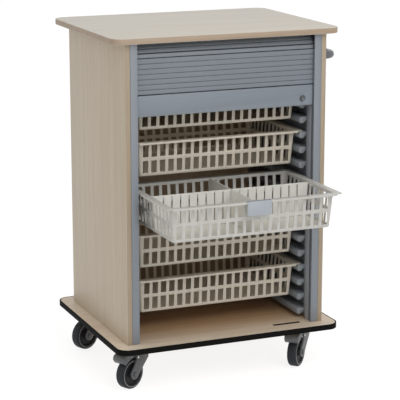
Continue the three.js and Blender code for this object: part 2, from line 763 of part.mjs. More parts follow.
function castorFork(braked) {
  const middle = (FORK_BACK - FORK_FRONT) / 2;
  const lean = Math.atan2(TRAIL - middle, forkTop - WHEEL_RADIUS);
  const neck = forkTop - FORK_NECK;
  const side = [[-FORK_FRONT, forkTop], [-FORK_FRONT, neck]];
  for (let i = 0; i <= LEG_STEPS; i += 1) {
    const angle = Math.PI + lean + (i / LEG_STEPS) * Math.PI;
    side.push([TRAIL + LEG_RADIUS * Math.cos(angle), WHEEL_RADIUS + LEG_RADIUS * Math.sin(angle)]);
  }
  side.push([FORK_BACK, neck], [FORK_BACK, forkTop]);
  const body = extrudedBack(outline(side), [-forkHalf, forkHalf]);
  const across = [-forkHalf - OVERCUT, forkHalf + OVERCUT];
  const wheelRoom = [-FORK_FRONT - OVERCUT, TRAIL + LEG_RADIUS + OVERCUT];
  const tools = [
    slab(wheelRoom, [-slotHalf, slotHalf], [-OVERCUT, slotTop]),
    rod(AXLE_RADIUS + TURN_PLAY, across, AXLE_SIDES).translate(TRAIL, 0, WHEEL_RADIUS),
    turnedUpright([
      [0, slotTop - OVERCUT],
      [KINGPIN_RADIUS + TURN_PLAY, slotTop - OVERCUT],
      [KINGPIN_RADIUS + TURN_PLAY, forkTop + OVERCUT],
      [0, forkTop + OVERCUT]], AXLE_SIDES)];
  if (braked) {
    const notchFront = pivotX - PEDAL_LUG_RADIUS - PEDAL_NOTCH_PLAY;
    const notchTall = [slotTop - OVERCUT, forkTop + OVERCUT];
    tools.push(
      slab([notchFront, FORK_BACK + OVERCUT], [-slotHalf, slotHalf], notchTall),
      rod(PEDAL_PIN_RADIUS + TURN_PLAY, across, AXLE_SIDES).translate(pivotX, 0, pivotZ));
  }
  return cut(body, tools);
}

function castorWheel() {
  const bore = AXLE_RADIUS + TURN_PLAY;
  const ring = WHEEL_RADIUS - TYRE_THICK - SEAT_GAP;
  const half = RIM_RING_WIDTH / 2;
  const hub = slotHalf - HUB_SIDE_PLAY;
  return turned([
    [bore, -hub],
    [HUB_RADIUS, -hub],
    [HUB_RADIUS, -half],
    [ring, -half],
    [ring, half],
    [HUB_RADIUS, half],
    [HUB_RADIUS, hub],
    [bore, hub],
    [bore, -hub]], WHEEL_SIDES);
}

function castorTyre() {
  const half = TYRE_WIDTH / 2;
  const seat = WHEEL_RADIUS - TYRE_THICK;
  return turned([
    [seat, -half],
    [WHEEL_RADIUS - TYRE_ROUND, -half],
    [WHEEL_RADIUS, -half + TYRE_ROUND],
    [WHEEL_RADIUS, half - TYRE_ROUND],
    [WHEEL_RADIUS - TYRE_ROUND, half],
    [seat, half],
    [seat, -half]], WHEEL_SIDES);
}

function castorAxle() {
  const shank = forkHalf + SEAT_GAP;
  const end = shank + AXLE_HEAD_THICK;
  return turned([
    [0, -end],
    [AXLE_HEAD_RADIUS, -end],
    [AXLE_HEAD_RADIUS, -shank],
    [AXLE_RADIUS, -shank],
    [AXLE_RADIUS, shank],
    [AXLE_HEAD_RADIUS, shank],
    [AXLE_HEAD_RADIUS, end],
    [0, end]], AXLE_SIDES);
}

function brakePin() {
  const end = forkHalf + PEDAL_PIN_PROUD;
  return rod(PEDAL_PIN_RADIUS, [-end, end], AXLE_SIDES).translate(pivotX, 0, pivotZ);
}

// The pedal's outline in (x, z): a lug on the pin, a rounded nose, and an arch over the tyre.
// The arch leaves a share of the room between the tyre and the pedal's top free.
function pedalOutline() {
  const points = [[pivotX, pedalTop]];
  for (let i = 0; i <= PEDAL_STEPS; i += 1) {
    const angle = THREE.MathUtils.degToRad(90 + (i / PEDAL_STEPS) * (PEDAL_NOSE_END - 90));
    points.push([
      PEDAL_REACH - PEDAL_NOSE + PEDAL_NOSE * Math.cos(angle),
      pedalTop - PEDAL_NOSE + PEDAL_NOSE * Math.sin(angle)]);
  }
  const arch = WHEEL_RADIUS + PEDAL_GAP_SHARE * (pedalTop - 2 * WHEEL_RADIUS);
  for (let i = 0; i <= PEDAL_STEPS; i += 1) {
    const degrees = PEDAL_ARCH[0] + (i / PEDAL_STEPS) * (PEDAL_ARCH[1] - PEDAL_ARCH[0]);
    const angle = THREE.MathUtils.degToRad(degrees);
    points.push([TRAIL + arch * Math.cos(angle), WHEEL_RADIUS + arch * Math.sin(angle)]);
  }
  points.push([pivotX, pivotZ - PEDAL_LUG_RADIUS]);
  return outline(points.reverse());
}

function brakePedal() {
  const wide = PEDAL_WIDTH / 2;
  const lug = slotHalf - PEDAL_LUG_PLAY;
  const hood = joined([
    extrudedBack(pedalOutline(), [-wide, wide]),
    rod(PEDAL_LUG_RADIUS, [-wide, wide], AXLE_SIDES).translate(pivotX, 0, pivotZ)]);
  const narrow = [pivotX - PEDAL_LUG_RADIUS - OVERCUT, PEDAL_WIDE_FROM];
  const sideways = [0, CASTOR_HEIGHT];
  return cut(hood, [
    slab(narrow, [-wide - OVERCUT, -lug], sideways),
    slab(narrow, [lug, wide + OVERCUT], sideways),
    rod(PEDAL_PIN_RADIUS + TURN_PLAY, [-wide, wide], AXLE_SIDES).translate(pivotX, 0, pivotZ)]);
}

// Assembly

const cabinet = new THREE.Group();
cabinet.add(
  piece('base_board', baseBoard(), COLOURS.board),
  piece('base_edge_band', baseEdgeBand(), COLOURS.edging, 0.8),
  piece('top_board', topBoard(), COLOURS.board),
  piece('side_panel_right', sidePanel(), COLOURS.board),
  piece('side_panel_left', mirrored(sidePanel()), COLOURS.board),
  piece('back_panel', backPanel(), COLOURS.board),
  piece('inner_back', innerBack(), COLOURS.board),
  piece('track_right', track(), COLOURS.aluminium, 0.45, 0.4),
  piece('track_left', mirrored(track()), COLOURS.aluminium, 0.45, 0.4),
  piece('guide_right', guide(), COLOURS.abs),
  piece('guide_left', mirrored(guide()), COLOURS.abs),
  piece('runner_right', runner(), COLOURS.abs),
  piece('runner_left', mirrored(runner()), COLOURS.abs),
  piece('rear_curtain', rearCurtain(), COLOURS.slat),
  piece('push_handle', pushHandle(), COLOURS.handle));
['front', 'rear'].forEach((place, end) => {
  const flange = piece(`handle_flange_${place}`, handleFlange(), COLOURS.handle);
  flange.position.set(bodyHalf + SEAT_GAP, handleEnds[end], handleZ);
  cabinet.add(flange);
});

const shutter = new THREE.Group();
shutter.add(
  piece('shutter_rail', shutterRail(), COLOURS.aluminium, 0.5, 0.3),
  piece('lock_cylinder', lockCylinder(), COLOURS.chrome, 0.3, 1),
  piece('lock_bolt', lockBolt(), COLOURS.chrome, 0.4, 1));
for (let i = 0; i < FRONT_SLATS; i += 1) {
  const strip = piece(`shutter_slat_${i + 1}`, slat(), COLOURS.slat);
  strip.position.set(0, CURTAIN_SETBACK, railTop + i * SLAT_PITCH);
  shutter.add(strip);
}

const baskets = new THREE.Group();
for (let number = 1; number <= BASKET_COUNT; number += 1) {
  const tray = new THREE.Group();
  const rung = RUNGS_PER_BASKET * (BASKET_COUNT + 1 - number);
  const pulled = number === PULLED_BASKET ? PULLED_OUT : 0;
  tray.position.set(0, rimFront + RIM_DEPTH / 2 - pulled, rungTop(rung) + SEAT_GAP + RIM_THICK);
  tray.add(piece(`basket_${number}`, basket(), COLOURS.basket));
  if (number === PULLED_BASKET) {
    tray.add(
      piece('divider_long', longDivider(), COLOURS.divider),
      piece('divider_cross', crossDivider(), COLOURS.divider),
      piece('label_holder', labelHolder(), COLOURS.label, 0.4));
  }
  baskets.add(tray);
}

const castors = new THREE.Group();
Object.entries(CASTOR_TURN).forEach(([corner, degrees]) => {
  const front = corner.startsWith('front');
  const reach = baseHalf - CASTOR_SIDE_INSET;
  const castor = new THREE.Group();
  castor.position.set(
    corner.endsWith('left') ? -reach : reach,
    front ? -BASE_FRONT_OVERHANG + CASTOR_END_INSET : baseRear - CASTOR_END_INSET,
    0);
  castor.rotation.z = THREE.MathUtils.degToRad(degrees);
  const wheel = new THREE.Group();
  wheel.position.set(TRAIL, 0, WHEEL_RADIUS);
  wheel.add(
    piece(`wheel_${corner}`, castorWheel(), COLOURS.wheel),
    piece(`tyre_${corner}`, castorTyre(), COLOURS.tyre, 0.9),
    piece(`axle_${corner}`, castorAxle(), COLOURS.chrome, 0.35, 1));
  castor.add(
    piece(`castor_head_${corner}`, castorHead(), COLOURS.chrome, 0.4, 1),
    piece(`fork_${corner}`, castorFork(front), COLOURS.fork),
    wheel);
  if (front) {
    castor.add(
      piece(`brake_pedal_${corner}`, brakePedal(), COLOURS.fork),
      piece(`brake_pin_${corner}`, brakePin(), COLOURS.chrome, 0.35, 1));
  }
  castors.add(castor);
});

const unit = new THREE.Group();
const extents = {
  left: -baseHalf,
  right: Math.max(baseHalf, bodyHalf + HANDLE_REACH),
  front: Math.min(-BASE_FRONT_OVERHANG, rimFront - PULLED_OUT),
  rear: baseRear,
};
unit.position.set(-(extents.left + extents.right) / 2, -(extents.front + extents.rear) / 2, 0);
unit.add(cabinet, shutter, baskets, castors);

export default unit;
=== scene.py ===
# Tray storage trolley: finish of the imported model, in metres, in the frame of its solids.
import json
import math

import bpy
from mathutils import Matrix, Vector


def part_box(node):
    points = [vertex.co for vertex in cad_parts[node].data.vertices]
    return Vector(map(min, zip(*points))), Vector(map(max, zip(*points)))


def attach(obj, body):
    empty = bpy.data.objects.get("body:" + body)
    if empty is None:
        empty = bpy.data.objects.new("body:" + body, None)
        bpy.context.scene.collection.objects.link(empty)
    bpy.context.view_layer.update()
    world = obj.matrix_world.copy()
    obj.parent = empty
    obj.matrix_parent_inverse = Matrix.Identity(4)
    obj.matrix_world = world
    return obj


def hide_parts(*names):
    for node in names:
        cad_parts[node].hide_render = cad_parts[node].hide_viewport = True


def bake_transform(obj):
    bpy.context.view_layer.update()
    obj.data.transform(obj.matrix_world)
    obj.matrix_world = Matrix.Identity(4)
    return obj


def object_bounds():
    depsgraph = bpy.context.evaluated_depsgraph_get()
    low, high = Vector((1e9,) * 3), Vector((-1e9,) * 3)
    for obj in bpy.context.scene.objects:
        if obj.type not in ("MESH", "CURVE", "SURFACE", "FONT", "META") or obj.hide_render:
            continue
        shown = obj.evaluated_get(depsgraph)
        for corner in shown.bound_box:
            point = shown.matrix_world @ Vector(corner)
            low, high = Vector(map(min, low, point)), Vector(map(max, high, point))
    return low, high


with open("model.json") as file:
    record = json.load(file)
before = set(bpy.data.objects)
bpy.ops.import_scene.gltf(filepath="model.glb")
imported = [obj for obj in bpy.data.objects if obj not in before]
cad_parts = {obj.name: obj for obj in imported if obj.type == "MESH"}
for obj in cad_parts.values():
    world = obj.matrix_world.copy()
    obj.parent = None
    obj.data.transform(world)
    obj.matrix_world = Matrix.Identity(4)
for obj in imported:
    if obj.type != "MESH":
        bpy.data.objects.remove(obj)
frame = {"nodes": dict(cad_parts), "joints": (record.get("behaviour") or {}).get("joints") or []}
cad_low, cad_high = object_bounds()

# Camera: a long lens from the front left, a little above the top board, looking down at the trolley.
# It stands level with no roll and no shift.
CAMERA_PLACE = (-2.0617, -4.8440, 1.7970)
CAMERA_TURN = -22.809
CAMERA_DIP = 13.236
CAMERA_LENS = 147.38
SENSOR_WIDTH = 36

bpy.ops.object.select_all(action="DESELECT")
bpy.ops.object.camera_add(
    location=CAMERA_PLACE,
    rotation=(math.radians(90 - CAMERA_DIP), 0, math.radians(CAMERA_TURN)),
)
camera = bpy.context.active_object
camera.name = "view_camera"
camera.data.lens = CAMERA_LENS
camera.data.sensor_width = SENSOR_WIDTH
bpy.context.scene.camera = camera
bpy.context.scene.view_settings.view_transform = "Standard"

# Studio: a wide pale floor, an even pale surround and three soft lamps, two in front and one at the left.
# The floor shows white and keeps the shadow.
FLOOR_SIDE = 30.0
FLOOR_PALE = (0.93, 0.93, 0.93, 1)
FLOOR_ROUGH = 0.9
FLOOR_SHINE = 0.1
FLOOR_GLOW = 1.2
FLOOR_GLOW_SHARE = 0.7
SURROUND_LEVEL = 0.62
WHITE = (1, 1, 1, 1)
LAMP_AIM = Vector((0, 0, 0.6))
LAMPS = {
    "high_front_lamp": {"place": (0.3, -3.0, 3.2), "side": 2.4, "watts": 57},
    "low_front_lamp": {"place": (0.3, -3.6, 0.6), "side": 1.8, "watts": 10},
    "left_lamp": {"place": (-3.2, -0.8, 2.0), "side": 2.0, "watts": 6},
}


def new_material(name):
    made = bpy.data.materials.new(name)
    made.use_nodes = True
    return made, made.node_tree, made.node_tree.nodes["Principled BSDF"]


def set_inputs(tree, node, values):
    for socket, value in values.items():
        if isinstance(value, bpy.types.NodeSocket):
            tree.links.new(value, node.inputs[socket])
        else:
            node.inputs[socket].default_value = value


def add_node(tree, kind, values):
    node = tree.nodes.new(f"ShaderNode{kind}")
    set_inputs(tree, node, values)
    return node


def add_math(tree, operation, *values):
    node = add_node(tree, "Math", dict(enumerate(values)))
    node.operation = operation
    return node.outputs[0]


def white_rays(tree):
    path = add_node(tree, "LightPath", {})
    mirrored = add_math(tree, "MAXIMUM", path.outputs["Is Glossy Ray"], path.outputs["Is Transmission Ray"])
    return add_math(tree, "MAXIMUM", path.outputs["Is Camera Ray"], mirrored)


bpy.ops.mesh.primitive_plane_add(size=FLOOR_SIDE, location=(0, 0, cad_low.z))
floor = bpy.context.active_object
floor.name = "studio_floor"
floor_finish, tree, shader = new_material("pale_floor")
set_inputs(tree, shader, {
    "Base Color": FLOOR_PALE, "Roughness": FLOOR_ROUGH, "Specular IOR Level": FLOOR_SHINE,
})
seen = add_math(tree, "MULTIPLY", white_rays(tree), FLOOR_GLOW_SHARE)
glow = add_node(tree, "Emission", {"Color": WHITE, "Strength": FLOOR_GLOW})
mixed = add_node(tree, "MixShader", {0: seen, 1: shader.outputs[0], 2: glow.outputs[0]})
set_inputs(tree, tree.nodes["Material Output"], {"Surface": mixed.outputs[0]})
floor.data.materials.append(floor_finish)

world = bpy.data.worlds.new("studio_surround")
bpy.context.scene.world = world
world.use_nodes = True
tree = world.node_tree
level = add_node(tree, "MapRange", {"Value": white_rays(tree), "To Min": SURROUND_LEVEL, "To Max": 1.0})
set_inputs(tree, tree.nodes["Background"], {"Color": WHITE, "Strength": level.outputs["Result"]})

for name, lit in LAMPS.items():
    aim = (LAMP_AIM - Vector(lit["place"])).to_track_quat("-Z", "Y")
    bpy.ops.object.light_add(type="AREA", location=lit["place"], rotation=aim.to_euler())
    lamp = bpy.context.active_object
    lamp.name = name
    lamp.data.energy = lit["watts"]
    lamp.data.size = lit["side"]

# Boards: melamine-faced chipboard with a pale maple print, sawn to size and lipped on the edges that show.
# The sides and back stand on the base board and carry the top board, held by dowels and cam bolts.
MAPLE_LIGHT = (0.585, 0.495, 0.38, 1)
MAPLE_DARK = (0.515, 0.42, 0.31, 1)
# The top board's print is paler and greyer than the sides': a painted highlight from the light above.
TOP_HIGHLIT_LIGHT = (0.63, 0.585, 0.51, 1)
TOP_HIGHLIT_DARK = (0.57, 0.515, 0.435, 1)
# The inner back's print is a darker brown: painted shade inside the cabinet.
INNER_SHADED_LIGHT = (0.40, 0.28, 0.17, 1)
INNER_SHADED_DARK = (0.32, 0.21, 0.12, 1)
LIPPING_LIGHT = (0.40, 0.305, 0.22, 1)
LIPPING_DARK = (0.335, 0.245, 0.165, 1)
UPRIGHT_LIPPING_LIGHT = (0.39, 0.315, 0.225, 1)
UPRIGHT_LIPPING_DARK = (0.33, 0.255, 0.175, 1)
GRAIN_ALONG = 1.1
GRAIN_ACROSS = 24.0
BOARD_ROUND = 0.0012
INNER_ROUND = 0.0005
TOP_ROUND = 0.003
TOP_LEVEL = 0.6
WELD = 0.00002
FLAT_ANGLE = 0.5
FACING = 0.8


def add_ramp(tree, share, *stops):
    ramp = add_node(tree, "ValToRGB", {"Fac": share})
    for element, (position, colour) in zip(ramp.color_ramp.elements, stops):
        element.position = position
        element.color = colour
    return ramp.outputs["Color"]


def multiplied(tree, share, colour, tint):
    node = tree.nodes.new("ShaderNodeMix")
    node.data_type = "RGBA"
    node.blend_type = "MULTIPLY"
    set_inputs(tree, node, {"Factor": share, "A": colour, "B": tint})
    return node.outputs["Result"]


def board_finish(name, along, light, dark, streaks=0.10):
    finish, tree, shader = new_material(name)
    place = add_node(tree, "TexCoord", {})
    stretch = add_node(tree, "Mapping", {
        "Vector": place.outputs["Object"],
        "Scale": [GRAIN_ALONG if axis == along else GRAIN_ACROSS for axis in "XYZ"],
    }).outputs["Vector"]
    figure = add_node(tree, "TexNoise", {
        "Vector": stretch, "Scale": 1.6, "Detail": 5, "Roughness": 0.6, "Distortion": 0.35,
    }).outputs["Fac"]
    fibre = add_node(tree, "TexNoise", {"Vector": stretch, "Scale": 14, "Detail": 3}).outputs["Fac"]
    tone = add_ramp(tree, figure, (0.28, dark), (0.66, light))
    streak = add_node(tree, "MapRange", {
        "Value": fibre, "From Min": 0.35, "From Max": 0.7, "To Min": 1 - streaks, "To Max": 1.0,
    })
    gloss = add_node(tree, "MapRange", {"Value": fibre, "To Min": 0.42, "To Max": 0.56})
    pores = add_node(tree, "Bump", {"Height": fibre, "Strength": 0.08, "Distance": 0.0004})
    set_inputs(tree, shader, {
        "Base Color": multiplied(tree, 1, tone, streak.outputs["Result"]),
        "Roughness": gloss.outputs["Result"],
        "Normal": pores.outputs["Normal"],
    })
    return finish


def round_edges(piece, radius, steps, angle):
    edge = piece.modifiers.new("edge_round", "BEVEL")
    edge.width = radius
    edge.segments = steps
    edge.limit_method = "ANGLE"
    edge.angle_limit = math.radians(angle)
    bpy.ops.object.modifier_apply(modifier=edge.name)


def rounded_copy(node, name, radius, steps, angle):
    piece = bpy.data.objects.new(name, frame["nodes"][node].data.copy())
    bpy.context.scene.collection.objects.link(piece)
    piece.data.materials.clear()
    bpy.ops.object.select_all(action="DESELECT")
    piece.select_set(True)
    bpy.context.view_layer.objects.active = piece
    bpy.ops.mesh.customdata_custom_splitnormals_clear()
    bpy.ops.object.mode_set(mode="EDIT")
    bpy.ops.mesh.select_all(action="SELECT")
    bpy.ops.mesh.remove_doubles(threshold=WELD)
    bpy.ops.mesh.dissolve_limited(angle_limit=math.radians(FLAT_ANGLE))
    bpy.ops.object.mode_set(mode="OBJECT")
    round_edges(piece, radius, steps, angle)
    bpy.ops.object.shade_smooth_by_angle(angle=math.radians(angle))
    return piece


def dress(piece, body, slot, *finishes):
    for finish in finishes:
        piece.data.materials.append(finish)
    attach(piece, body)
    return piece


def refinish(node, name, radius, body, slot, *finishes, steps=2, angle=30):
    piece = dress(rounded_copy(node, name, radius, steps, angle), body, slot, *finishes)
    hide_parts(node)
    return piece


def second_finish(piece, wanted):
    for face in piece.data.polygons:
        face.material_index = 1 if wanted(face) else 0


upright_maple = board_finish("maple_print_upright", "Z", MAPLE_LIGHT, MAPLE_DARK)
top_maple_highlit = board_finish("maple_print_top_painted_highlight", "X", TOP_HIGHLIT_LIGHT, TOP_HIGHLIT_DARK, streaks=0.06)
inner_maple_shaded = board_finish("maple_print_inner_back_painted_shade", "Z", INNER_SHADED_LIGHT, INNER_SHADED_DARK)
upright_lipping = board_finish("maple_lipping_upright", "Z", UPRIGHT_LIPPING_LIGHT, UPRIGHT_LIPPING_DARK)
level_lipping = board_finish("maple_lipping_level", "X", LIPPING_LIGHT, LIPPING_DARK)

for side in ("left", "right"):
    panel = refinish(
        f"side_panel_{side}", f"maple_side_{side}", BOARD_ROUND, "cabinet", "board",
        upright_maple, upright_lipping)
    second_finish(panel, lambda face: abs(face.normal.y) > FACING)
refinish("back_panel", "maple_back", BOARD_ROUND, "cabinet", "board", upright_maple)
refinish("inner_back", "maple_inner_back", INNER_ROUND, "cabinet", "board", inner_maple_shaded)
top = refinish("top_board", "maple_top", TOP_ROUND, "cabinet", "board", top_maple_highlit, level_lipping, steps=3)
second_finish(top, lambda face: abs(face.normal.z) < TOP_LEVEL)

# Base board: the same faced board, a size larger all round, with a blind slot milled for the lock bolt.
# Inside the cabinet the print is painted a warmer, darker brown as painted shade. Round the rim, behind the
# back panel and along the front, a tint lifts it back to its own lighter tone.
SHADED_BASE_LIGHT = (0.58, 0.375, 0.21, 1)
SHADED_BASE_DARK = (0.50, 0.305, 0.16, 1)
UNSHADED_RIM_TINT = (1.26, 1.66, 2.35, 1)
SHADE_FADE_FRONT = -0.21
SHADE_FADE_END = -0.05
PANEL_INSET = 0.008
BASE_ROUND = 0.0006
SLOT_SHADE_LIGHT = (0.020, 0.015, 0.011, 1)
SLOT_SHADE_DARK = (0.012, 0.009, 0.007, 1)
SLOT_MARGIN = 0.02


def shade_inside_cabinet(finish, low, high, rear):
    tree = finish.node_tree
    shader = tree.nodes["Principled BSDF"]
    printed = shader.inputs["Base Color"].links[0].from_socket
    place = add_node(tree, "TexCoord", {})
    axes = add_node(tree, "SeparateXYZ", {"Vector": place.outputs["Object"]})
    offset = add_math(tree, "SUBTRACT", axes.outputs["X"], (low + high) / 2)
    outside = add_math(tree, "GREATER_THAN", add_math(tree, "ABSOLUTE", offset), (high - low) / 2)
    behind = add_math(tree, "GREATER_THAN", axes.outputs["Y"], rear)
    front = add_node(tree, "MapRange", {
        "Value": axes.outputs["Y"],
        "From Min": SHADE_FADE_FRONT, "From Max": SHADE_FADE_END, "To Min": 1, "To Max": 0,
    })
    ends = add_math(tree, "MAXIMUM", behind, front.outputs["Result"])
    reach = add_math(tree, "MAXIMUM", outside, ends)
    # Outside the painted shade, the print is multiplied back up to its own lighter tone.
    set_inputs(tree, shader, {"Base Color": multiplied(tree, reach, printed, UNSHADED_RIM_TINT)})


shaded_base_maple = board_finish("maple_print_base_painted_shade", "X", SHADED_BASE_LIGHT, SHADED_BASE_DARK)
shade_inside_cabinet(
    shaded_base_maple,
    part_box("side_panel_left")[0].x + PANEL_INSET,
    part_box("side_panel_right")[1].x - PANEL_INSET,
    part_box("back_panel")[1].y - PANEL_INSET,
)
# The slot's walls are painted near black: partly the darker chipboard core that the milling bares, mostly
# painted shade in the recess.
slot_core_and_shade = board_finish("milled_slot_core_and_painted_shade", "X", SLOT_SHADE_LIGHT, SLOT_SHADE_DARK)
base = refinish("base_board", "maple_base", BASE_ROUND, "cabinet", "board", shaded_base_maple, slot_core_and_shade, steps=1)
slot_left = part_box("lock_bolt")[0].x - SLOT_MARGIN
slot_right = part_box("lock_bolt")[1].x + SLOT_MARGIN
second_finish(base, lambda face: all(
    slot_left < base.data.vertices[i].co.x < slot_right for i in face.vertices))

# Base edging: a soft black plastic strip pressed round the base board's edge as a bumper.
# Its section is a little domed, and its surface has the fine matt grain of extruded plastic.
MILKY_REACH = (0.006, 0.0055, 0.0048)
EDGING_ROUND = 0.0035


def shades(colour, spread):
    return [c * (1 - spread) for c in colour] + [1], [min(1, c * (1 + spread)) for c in colour] + [1]


def plastic_finish(name, colour, rough, speckle=0.04, bump=0.05, scale=900, gloss=0.5, milky=0.0):
    finish, tree, shader = new_material(name)
    place = add_node(tree, "TexCoord", {}).outputs["Object"]
    grain = add_node(tree, "TexNoise", {"Vector": place, "Scale": scale, "Detail": 2})
    cloud = add_node(tree, "TexNoise", {"Vector": place, "Scale": 9, "Detail": 4}).outputs["Fac"]
    darker, lighter = shades(colour, speckle)
    sheen = add_node(tree, "MapRange", {"Value": cloud, "To Min": rough - 0.05, "To Max": rough + 0.07})
    texture = add_node(tree, "Bump", {"Height": grain.outputs["Fac"], "Strength": bump, "Distance": 0.0003})
    set_inputs(tree, shader, {
        "Base Color": add_ramp(tree, cloud, (0.3, darker), (0.7, lighter)),
        "Roughness": sheen.outputs["Result"],
        "Normal": texture.outputs["Normal"],
        "Specular IOR Level": gloss,
        "Subsurface Weight": milky,
        "Subsurface Radius": MILKY_REACH,
        "Subsurface Scale": 1,
    })
    return finish


edging_black = plastic_finish(
    "edging_black", (0.006, 0.006, 0.0055), rough=0.7, speckle=0.1, bump=0.1, gloss=0.05)
refinish("base_edge_band", "black_edging", EDGING_ROUND, "cabinet", "edging", edging_black, steps=3, angle=60)

# Shutter tracks: extruded aluminium with a satin grey coat, screwed to the side panels' inner faces.
# A groove in each inner side holds the ends of the slats.
TRACK_ROUND = 0.0016
METAL_SPREAD = 0.07
DRAWN_ALONG = 6.0
DRAWN_ACROSS = 700.0


def satin_metal(name, colour, rough, along, metal):
    finish, tree, shader = new_material(name)
    place = add_node(tree, "TexCoord", {})
    draw = add_node(tree, "Mapping", {
        "Vector": place.outputs["Object"],
        "Scale": [DRAWN_ALONG if axis == along else DRAWN_ACROSS for axis in "XYZ"],
    })
    lines = add_node(tree, "TexNoise", {
        "Vector": draw.outputs["Vector"], "Scale": 1, "Detail": 3,
    }).outputs["Fac"]
    darker, lighter = shades(colour, METAL_SPREAD)
    polish = add_node(tree, "MapRange", {"Value": lines, "To Min": rough - 0.06, "To Max": rough + 0.08})
    drawn = add_node(tree, "Bump", {"Height": lines, "Strength": 0.04, "Distance": 0.0002})
    set_inputs(tree, shader, {
        "Base Color": add_ramp(tree, lines, (0.0, darker), (1.0, lighter)),
        "Metallic": metal,
        "Roughness": polish.outputs["Result"],
        "Normal": drawn.outputs["Normal"],
    })
    return finish


track_grey = satin_metal("track_satin_grey", (0.213, 0.233, 0.259), rough=0.42, along="Z", metal=0.2)
# The side faces behind the groove get a lighter grey: painted light, where the lamps leave them dark.
flank_painted_light = satin_metal("track_flank_painted_light", (0.36, 0.39, 0.42), rough=0.5, along="Z", metal=0.1)
groove_y = (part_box("shutter_slat_1")[0].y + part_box("shutter_slat_1")[1].y) / 2
for side in ("left", "right"):
    track = refinish(
        f"track_{side}", f"satin_track_{side}", TRACK_ROUND, "cabinet", "track",
        track_grey, flank_painted_light, steps=3)
    second_finish(track, lambda face: abs(face.normal.x) > FACING and face.center.y > groove_y)

# Runner panels: grey moulded plastic, with a rung for a basket rim at every step, screwed to the side panels.
# The noses of the rungs are rounded. Behind them, dark bent guides lead the shutter's curtain over the top.
RUNNER_ROUND = 0.0022
GUIDE_ROUND = 0.0006
runner_grey = plastic_finish(
    "runner_grey", (0.24, 0.262, 0.28), rough=0.5, speckle=0.05, bump=0.12, scale=1400)
guide_dark = plastic_finish(
    "guide_dark_grey", (0.045, 0.048, 0.052), rough=0.5, speckle=0.05, bump=0.08, scale=1400)
for side in ("left", "right"):
    refinish(f"runner_{side}", f"moulded_runner_{side}", RUNNER_ROUND, "cabinet", "abs", runner_grey)
    refinish(f"guide_{side}", f"curtain_guide_{side}", GUIDE_ROUND, "cabinet", "abs", guide_dark, steps=1)

# Shutter: hollow grey plastic slats, hooked into one another so that the curtain bends round the guides.
# The seven in front hang above the bottom rail, and the rest are stored over the top and behind the baskets.
SLAT_FACE_ROUND = 0.0022
SLAT_SMOOTH = 40
RAIL_SEAM = 0.0016
BEND_SLAT_SHARE = 0.78
slat_low, slat_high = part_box("shutter_slat_1")
slat_middle = (slat_low + slat_high) / 2
slat_size = slat_high - slat_low
slat_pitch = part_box("shutter_slat_2")[0].z - slat_low.z
slat_grey = plastic_finish("shutter_slat_grey", (0.170, 0.190, 0.215), rough=0.42, bump=0.04, scale=700)


def select_edges(piece, wanted):
    bpy.ops.object.mode_set(mode="EDIT")
    bpy.ops.mesh.select_mode(type="EDGE")
    bpy.ops.mesh.select_all(action="DESELECT")
    bpy.ops.object.mode_set(mode="OBJECT")
    for edge in piece.data.edges:
        edge.select = wanted([piece.data.vertices[i].co for i in edge.vertices])
    bpy.ops.object.mode_set(mode="EDIT")


def bevel_edges(piece, wanted, radius, steps):
    select_edges(piece, wanted)
    bpy.ops.mesh.bevel(offset=radius, segments=steps, affect="EDGES")


def settle(piece, matrix, angle=35):
    bpy.ops.object.mode_set(mode="OBJECT")
    piece.data.transform(matrix)
    bpy.ops.object.shade_smooth_by_angle(angle=math.radians(angle))


def new_block(name, size):
    bpy.ops.object.select_all(action="DESELECT")
    bpy.ops.mesh.primitive_cube_add(size=1)
    block = bpy.context.active_object
    block.name = name
    block.data.transform(Matrix.Diagonal((*size, 1)))
    return block


def on_front(ends):
    return all(end.y < 0 for end in ends)


def along_front(ends):
    return on_front(ends) and abs(ends[0].x - ends[1].x) > slat_size.x / 2


def new_slat(name, rounded, inset=0.0):
    slat = new_block(name, slat_size - Vector((0, 2 * inset, 0)))
    bevel_edges(slat, rounded, SLAT_FACE_ROUND, steps=4)
    settle(slat, Matrix.Identity(4), SLAT_SMOOTH)
    return slat


def placed_copy(source, name, matrix):
    piece = bpy.data.objects.new(name, source.data.copy())
    piece.data.transform(matrix)
    bpy.context.scene.collection.objects.link(piece)
    return piece


def joined_pieces(pieces, name):
    bpy.ops.object.select_all(action="DESELECT")
    for piece in pieces:
        piece.select_set(True)
    bpy.context.view_layer.objects.active = pieces[0]
    bpy.ops.object.join()
    pieces[0].name = name
    return pieces[0]


slat_model = new_slat("slat_model", on_front)
front_slats = sorted(n for n in frame["nodes"] if n.startswith("shutter_slat_"))
for node in front_slats:
    low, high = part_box(node)
    seam = RAIL_SEAM if node == front_slats[0] else 0
    middle = (low + high) / 2 + Vector((0, 0, seam / 2))
    place = Matrix.Translation(middle) @ Matrix.Diagonal((1, 1, 1 - seam / slat_size.z, 1))
    slat = placed_copy(slat_model, node.replace("shutter_slat", "hooked_slat"), place)
    dress(slat, "shutter", "slat", slat_grey)
    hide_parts(node)

curtain_low, curtain_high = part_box("rear_curtain")
bend_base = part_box(front_slats[-1])[0].z + slat_pitch
bend_radius = curtain_high.z - slat_size.y / 2 - bend_base
front_y = slat_middle.y
rear_y = curtain_high.y - slat_size.y / 2
stored = []


def store_slat(y, z, tilt, share=1.0):
    turn = Matrix.Rotation(tilt, 4, "X") @ Matrix.Diagonal((1, 1, share, 1))
    stored.append(placed_copy(slat_model, "stored_slat", Matrix.Translation((slat_middle.x, y, z)) @ turn))


